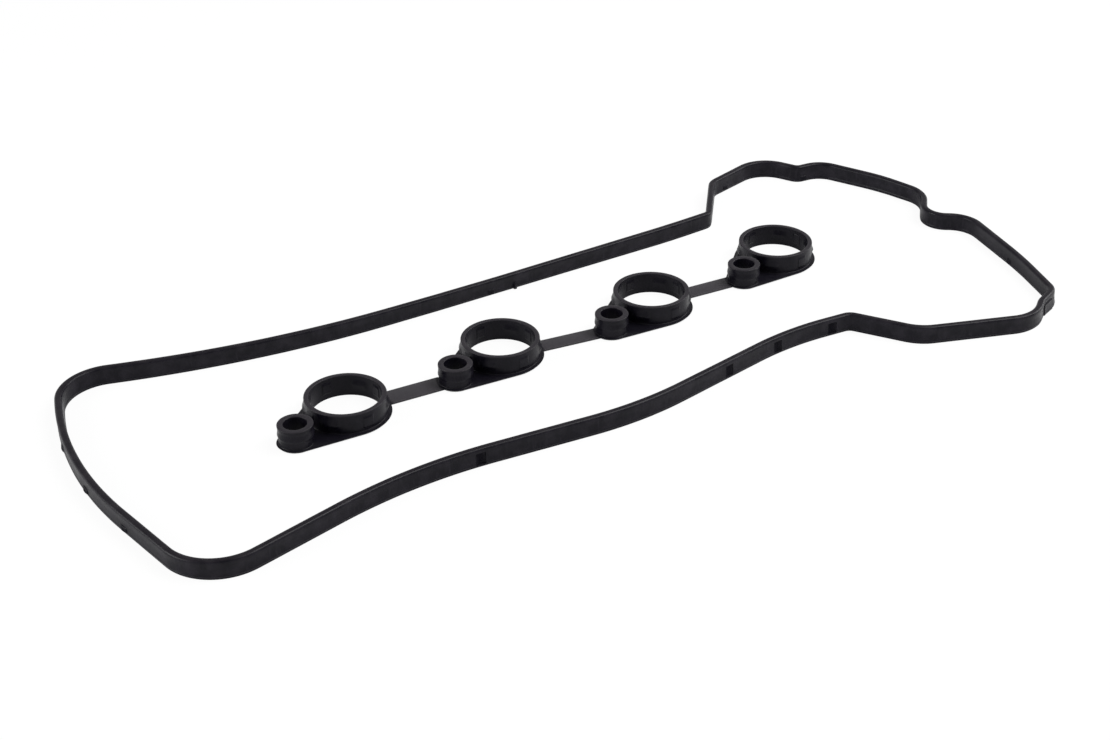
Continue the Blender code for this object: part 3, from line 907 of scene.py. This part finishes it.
def powderRibbons(strip, centres):
    # Marks the ribbons, which lie clear of every flange, as powdered with talc
    places = np.array([vertex.co[:2] for vertex in strip.data.vertices])
    clear = np.full(len(places), 1.0)
    for well, bolt, turn in centres:
        for middle, radius in ((well, ringShape["outer"] + flangeShape["margin"]),
                               (bolt, boltShape["outer"] + flangeShape["boltMargin"])):
            away = np.linalg.norm(places - np.array(middle[:2]), axis=1) - radius
            clear = np.minimum(clear, np.clip(away / ribbonShape["talcFade"], 0.0, 1.0))
    strip.data.attributes.new("talc", "FLOAT", "POINT").data.foreach_set("value", clear.astype(np.float32))


def sealPiece(material):
    depths = {name: abs(relief["depth"]) for name, relief in sealRelief.items()}
    section = sealSection(sealShape)
    for name, relief in sealRelief.items():
        if relief["depth"] < 0.0:
            section["shares"][name] = [-share for share in section["shares"][name]]
    return sweptPiece("perimeterSeal", sealStations(sealShape), section, depths, sealShape, material)


def finished(piece, node, shift, material):
    # Places the piece where its CAD node is and lets it stand for that node
    piece.data.validate()  # drops the faces that Blender finds invalid
    piece.data.transform(Matrix.Translation(shift))
    piece.data.materials.clear()
    piece.data.materials.append(material)
    piece.data.shade_smooth()
    piece.data.set_sharp_from_angle(angle=smoothUnder)
    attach(piece, "root")
    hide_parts(node)
    print(f"{piece.name}: {len(piece.data.polygons)} faces")


# Rubber

def grainGroup(spread):
    # Moulded rubber's grain, patches, rub marks, dusting and talc, with painted bounce light towards the
    # foot, painted sheen on the crown and painted shade in the small grooves and pips, as colour, roughness
    # and height
    group = bpy.data.node_groups.new("mouldedRubber", "ShaderNodeTree")
    for label in ("Colour", "Dusting And Bounce Colour", "Crown Wear And Sheen Colour", "Talc Colour"):
        group.interface.new_socket(label, in_out="INPUT", socket_type="NodeSocketColor")
    for label in ("Grain Scale", "Blotch Scale", "Streak Scale", "Roughness", "Dusting And Bounce", "Foot Light Height",
                  "Crown Start", "Crown Height", "Crown Cover"):
        group.interface.new_socket(label, in_out="INPUT", socket_type="NodeSocketFloat")
    for label, kind in (("Colour", "Color"), ("Roughness", "Float"), ("Height", "Float")):
        group.interface.new_socket(label, in_out="OUTPUT", socket_type="NodeSocket" + kind)
    given = addNode(group, "NodeGroupInput").outputs
    place = addNode(group, "ShaderNodeTexCoord").outputs["Object"]
    up = addNode(group, "ShaderNodeSeparateXYZ", {0: place}).outputs["Z"]
    upright = vectorNode(group, "MULTIPLY", place, (1.0, 1.0, spread["rubStretch"]))
    grain = noiseNode(group, place, given["Grain Scale"], 3.0)
    blotch = noiseNode(group, place, given["Blotch Scale"], 4.0)
    streak = noiseNode(group, upright, given["Streak Scale"], 2.0)
    # Painted shade: the marked grooves and pips stay darker
    bare = addNode(group, "ShaderNodeAttribute", attribute_name="bare").outputs["Fac"]
    talc = addNode(group, "ShaderNodeAttribute", attribute_name="talc").outputs["Fac"]
    # The dusting lies in patches and in the rub marks. Towards the foot the same paler colour is painted
    # bounce light from the floor. The small grooves and pips take none of it, which paints shade into them
    patch = rangeNode(group, blotch, *spread["patch"], 0.0, 1.0)
    rubbed = rangeNode(group, streak, *spread["rub"], 0.0, spread["rubShare"])
    # Paler towards the foot: painted bounce light from the floor
    foot = rangeNode(group, up, given["Foot Light Height"], 0.0, 0.0, 1.0)
    cover = mathNode(group, "MAXIMUM", mathNode(group, "MAXIMUM", patch, rubbed), foot)
    outsideShade = mathNode(group, "SUBTRACT", 1.0, bare)
    dustingAndBounceShare = mathNode(group, "MULTIPLY", mathNode(group, "MULTIPLY", cover, given["Dusting And Bounce"]), outsideShade)
    dustingAndBounceTinted = mixNode(group, dustingAndBounceShare, given["Colour"], given["Dusting And Bounce Colour"])
    # The crown has its own paler colour, partly wear and partly painted sheen, and the ribbons lie under talc
    crown = rangeNode(group, up, given["Crown Start"], given["Crown Height"], 0.0, 1.0)
    wearAndSheenCover = mathNode(group, "MAXIMUM", patch, given["Crown Cover"])
    wearAndSheenTinted = mixNode(group, mathNode(group, "MULTIPLY", crown, wearAndSheenCover), dustingAndBounceTinted, given["Crown Wear And Sheen Colour"])
    uneven = rangeNode(group, grain, *spread["talc"], spread["leastTalc"], 1.0)
    colour = mixNode(group, mathNode(group, "MULTIPLY", talc, uneven), wearAndSheenTinted, given["Talc Colour"])
    clouded = mathNode(group, "SUBTRACT", blotch, 0.5)
    rougher = mathNode(group, "MULTIPLY", clouded, spread["patchRoughness"])
    matter = mathNode(group, "ADD", rougher, mathNode(group, "MULTIPLY", bare, spread["shadedMarkRoughness"]))
    roughness = mathNode(group, "ADD", given["Roughness"], matter)
    coarse = mathNode(group, "ADD", mathNode(group, "MULTIPLY", blotch, spread["patchBump"]),
                      mathNode(group, "MULTIPLY", streak, spread["rubBump"]))
    height = mathNode(group, "ADD", mathNode(group, "MULTIPLY", grain, spread["grainBump"]), coarse)
    addNode(group, "NodeGroupOutput", {"Colour": colour, "Roughness": roughness, "Height": height})
    return group


def rubberMaterial(name, group, look, wear, crownHeight):
    material = bpy.data.materials.new(name)
    material.use_nodes = True
    tree = material.node_tree
    shader = tree.nodes["Principled BSDF"]
    shader.inputs["Specular IOR Level"].default_value = look["specular"]
    shader.inputs["Metallic"].default_value = 0.0
    surface = addNode(tree, "ShaderNodeGroup", {
        "Colour": (*look["colour"], 1.0),
        "Dusting And Bounce Colour": (*look["dustingAndBounceColour"], 1.0),
        "Crown Wear And Sheen Colour": (*wear["crownWearAndSheenColour"], 1.0),
        "Talc Colour": (*look["talcColour"], 1.0),
        "Grain Scale": 1.0 / look["grainSize"],
        "Blotch Scale": 1.0 / look["blotchSize"],
        "Streak Scale": 1.0 / look["streakSize"],
        "Roughness": look["roughness"],
        "Dusting And Bounce": wear["dustingAndBounce"],
        "Foot Light Height": look["footLightHeight"],
        "Crown Start": crownHeight - look["crownDepth"],
        "Crown Height": crownHeight,
        "Crown Cover": wear["crownCover"],
    }, node_tree=group).outputs
    bump = addNode(tree, "ShaderNodeBump", {
        "Strength": 1.0, "Distance": look["grainHeight"], "Height": surface["Height"],
    })
    tree.links.new(surface["Colour"], shader.inputs["Base Color"])
    tree.links.new(surface["Roughness"], shader.inputs["Roughness"])
    tree.links.new(bump.outputs["Normal"], shader.inputs["Normal"])
    return material


# Floor, light and camera

def backgroundRay(tree, mirrorShare):
    # 1 for what the camera sees of the background, and how much of that a mirrored ray sees
    path = addNode(tree, "ShaderNodeLightPath").outputs
    glossy = mathNode(tree, "MULTIPLY", path["Is Glossy Ray"], mirrorShare)
    mirrored = mathNode(tree, "MAXIMUM", glossy, path["Is Transmission Ray"])
    return mathNode(tree, "MAXIMUM", path["Is Camera Ray"], mirrored)


def whiteFloor(look):
    half = look["size"] / 2.0
    mesh = bpy.data.meshes.new("floor")
    corners = [(-half, -half, 0.0), (half, -half, 0.0), (half, half, 0.0), (-half, half, 0.0)]
    mesh.from_pydata(corners, [], [(0, 1, 2, 3)])
    floor = bpy.data.objects.new("floor", mesh)
    bpy.context.scene.collection.objects.link(floor)
    material = bpy.data.materials.new("whiteFloor")
    material.use_nodes = True
    tree = material.node_tree
    tree.nodes.clear()
    grey = (look["colour"], look["colour"], look["colour"], 1.0)
    faint = tuple(value * look["shadowShare"] for value in grey[:3]) + (1.0,)
    plain = addNode(tree, "ShaderNodeBsdfDiffuse", {"Color": grey}).outputs[0]
    shaded = addNode(tree, "ShaderNodeBsdfDiffuse", {"Color": faint}).outputs[0]
    white = (1.0, 1.0, 1.0, 1.0)
    glow = addNode(tree, "ShaderNodeEmission", {"Color": white, "Strength": look["whiteGlow"]}).outputs[0]
    shown = addNode(tree, "ShaderNodeAddShader", {0: shaded, 1: glow}).outputs[0]
    seen = backgroundRay(tree, look["mirrorShare"])
    mixed = addNode(tree, "ShaderNodeMixShader", {0: seen, 1: plain, 2: shown})
    addNode(tree, "ShaderNodeOutputMaterial", {"Surface": mixed.outputs[0]})
    mesh.materials.append(material)


def whiteWorld(look):
    world = bpy.data.worlds.new("studio")
    world.use_nodes = True
    tree = world.node_tree
    tree.nodes.clear()
    white = (1.0, 1.0, 1.0, 1.0)
    light = addNode(tree, "ShaderNodeBackground", {"Color": white, "Strength": look["worldLight"]}).outputs[0]
    # What mirrors in the rubber fades from the white backdrop to the studio's dim ceiling
    direction = addNode(tree, "ShaderNodeTexCoord").outputs["Generated"]
    up = addNode(tree, "ShaderNodeSeparateXYZ", {0: direction}).outputs["Z"]
    fade = rangeNode(tree, up, look["ceilingStart"], look["ceilingFull"], 1.0, look["ceilingLight"])
    seen = addNode(tree, "ShaderNodeLightPath").outputs["Is Camera Ray"]
    strength = mathNode(tree, "MAXIMUM", seen, fade)
    shown = addNode(tree, "ShaderNodeBackground", {"Color": white, "Strength": strength}).outputs[0]
    mixed = addNode(tree, "ShaderNodeMixShader", {0: backgroundRay(tree, 1.0), 1: light, 2: shown})
    addNode(tree, "ShaderNodeOutputWorld", {"Surface": mixed.outputs[0]})
    bpy.context.scene.world = world


def studioLamps(places):
    for name, look in places.items():
        data = bpy.data.lights.new(name, "AREA")
        data.size = look["size"]
        data.energy = look["power"]
        lamp = bpy.data.objects.new(name, data)
        lamp.location = look["place"]
        lamp.rotation_euler = (-Vector(look["place"])).to_track_quat("-Z", "Y").to_euler()
        bpy.context.scene.collection.objects.link(lamp)


def photoCamera(place, origin):
    data = bpy.data.cameras.new("camera")
    data.lens = place["lens"]
    data.sensor_width = place["sensor"]
    azimuth, elevation = math.radians(place["azimuth"]), math.radians(place["elevation"])
    level = math.cos(elevation)
    back = Vector((math.sin(azimuth) * level, -math.cos(azimuth) * level, math.sin(elevation)))
    turn = (-back).to_track_quat("-Z", "Y").to_matrix() @ Matrix.Rotation(math.radians(place["roll"]), 3, "Z")
    data.clip_start, data.clip_end = place["nearest"], place["farthest"]
    camera = bpy.data.objects.new("camera", data)
    aim = origin + Vector(place["aim"])
    camera.matrix_world = Matrix.Translation(aim + back * place["distance"]) @ turn.to_4x4()
    bpy.context.scene.collection.objects.link(camera)
    bpy.context.scene.camera = camera


group = grainGroup(wearSpread)
sealRubber = rubberMaterial("perimeterSealRubber", group, rubberLook, sealWear, sealShape["height"])
stripRubber = rubberMaterial("plugWellSealRubber", group, rubberLook, stripWear, ringShape["height"])
seal = sealPiece(sealRubber)
print("seal swept")
strip = plugWellStrip(stripRubber)
print("strip joined")

# The plan's origin lies where the strip's box has the same middle as its CAD node's box
lowest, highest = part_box("plug_well_seal")
spots = np.array([vertex.co for vertex in strip.data.vertices])
planMiddle = Vector(((spots.min(0) + spots.max(0)) / 2.0).tolist())
shift = (lowest + highest) / 2.0 - planMiddle
shift.z = 0.0
finished(seal, "perimeter_seal", shift, sealRubber)
finished(strip, "plug_well_seal", shift, stripRubber)

whiteFloor(floorLook)
whiteWorld(floorLook)
studioLamps(lamps)
photoCamera(cameraPlace, shift)
bpy.context.scene.view_settings.view_transform = "Standard"
print("floor, lamps and camera set")
